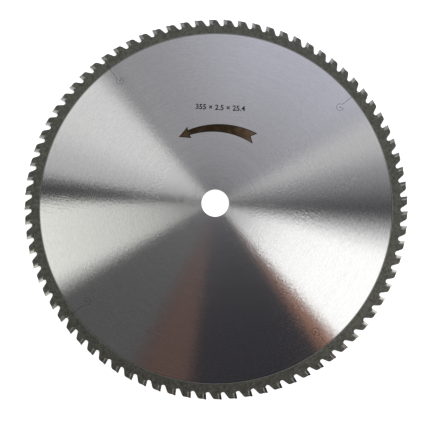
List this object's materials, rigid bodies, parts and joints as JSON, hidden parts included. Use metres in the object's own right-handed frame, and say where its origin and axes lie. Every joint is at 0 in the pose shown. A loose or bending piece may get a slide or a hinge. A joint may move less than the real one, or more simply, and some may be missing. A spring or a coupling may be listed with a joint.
{
  "type": "circular saw blade",
  "caption": "Flat toothed steel disc with brazed carbide tips, round gullets, curl-ended expansion slots and a plain arbor bore, for cutting metal.",
  "frame": {"origin": "centre of the arbor bore at half the plate's thickness", "axes": "+Z along the bore, out of the face that shows the rotation arrow; +X through the cutting edge of the first tooth"},
  "size_m": [0.355, 0.355, 0.0024],
  "materials": {
    "steel": "circular ground centre, matte dark rim",
    "carbide": "ground",
    "solder": "bright silver solder"
  },
  "bodies": {
    "root": {"steel_plate": "steel", "trapeze_tips": "carbide", "flat_tips": "carbide", "braze_layers": "solder"}
  },
  "joints": []
}
